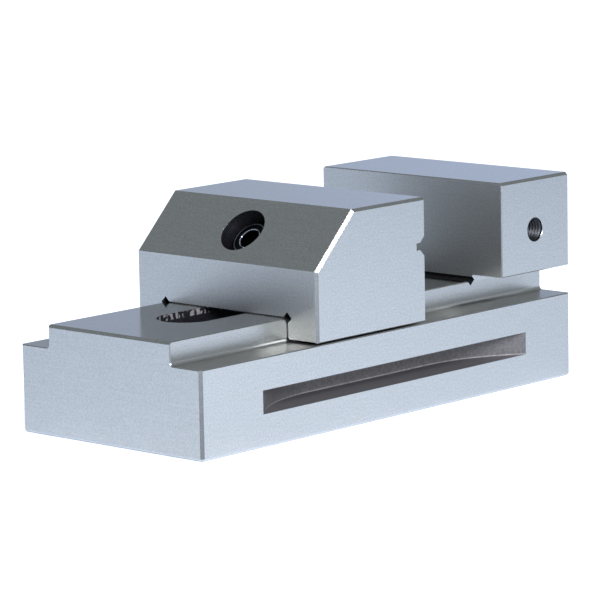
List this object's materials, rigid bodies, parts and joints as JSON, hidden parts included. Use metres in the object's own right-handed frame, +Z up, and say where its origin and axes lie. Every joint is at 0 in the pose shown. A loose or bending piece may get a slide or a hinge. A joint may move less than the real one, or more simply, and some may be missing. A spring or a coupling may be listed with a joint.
{
  "type": "precision vise",
  "caption": "Ground steel precision vise: one-piece body with fixed jaw, movable jaw straddling a slotted rail, inclined socket-head clamp screw and cross-pin nut",
  "frame": {"origin": "centre of the base's rectangular footprint, on the underside", "axes": "+X along the rail towards the fixed jaw, +Z up, +Y across the rail, away from the side with the threaded stop hole"},
  "size_m": [0.228, 0.1, 0.088],
  "materials": {
    "ground_steel": "hardened steel, fine ground, semi-mirror",
    "blackened_steel": "black oxide, satin",
    "spring_steel": "bright drawn wire and stamped ring"
  },
  "bodies": {
    "base": {"vise_body": "ground_steel"},
    "jaw": {"movable_jaw": "ground_steel", "ball_washer": "blackened_steel", "seat_washer": "blackened_steel", "return_spring": "spring_steel"},
    "screw": {"clamp_screw": "blackened_steel", "tip_ring": "spring_steel"},
    "pin": {"pin_nut": "blackened_steel"}
  },
  "joints": [
    {"name": "jaw_slide", "type": "slide", "parent": "base", "child": "jaw", "axis": [1, 0, 0], "range_m": [-0.066, 0.0495]},
    {"name": "screw_turn", "type": "hinge", "parent": "jaw", "child": "screw", "pos_m": [-0.03575, 0, 0.07675], "axis": [0.7071, 0, -0.7071], "range_deg": [0, 1620]},
    {"name": "pin_lift", "type": "slide", "parent": "jaw", "child": "pin", "axis": [-0.7071, 0, 0.7071], "range_m": [0, 0.00675], "deforming": ["return_spring"]}
  ],
  "couplings": [
    {"joint": "screw_turn", "follows": "pin_lift", "rad_per_m": 4188.8}
  ]
}
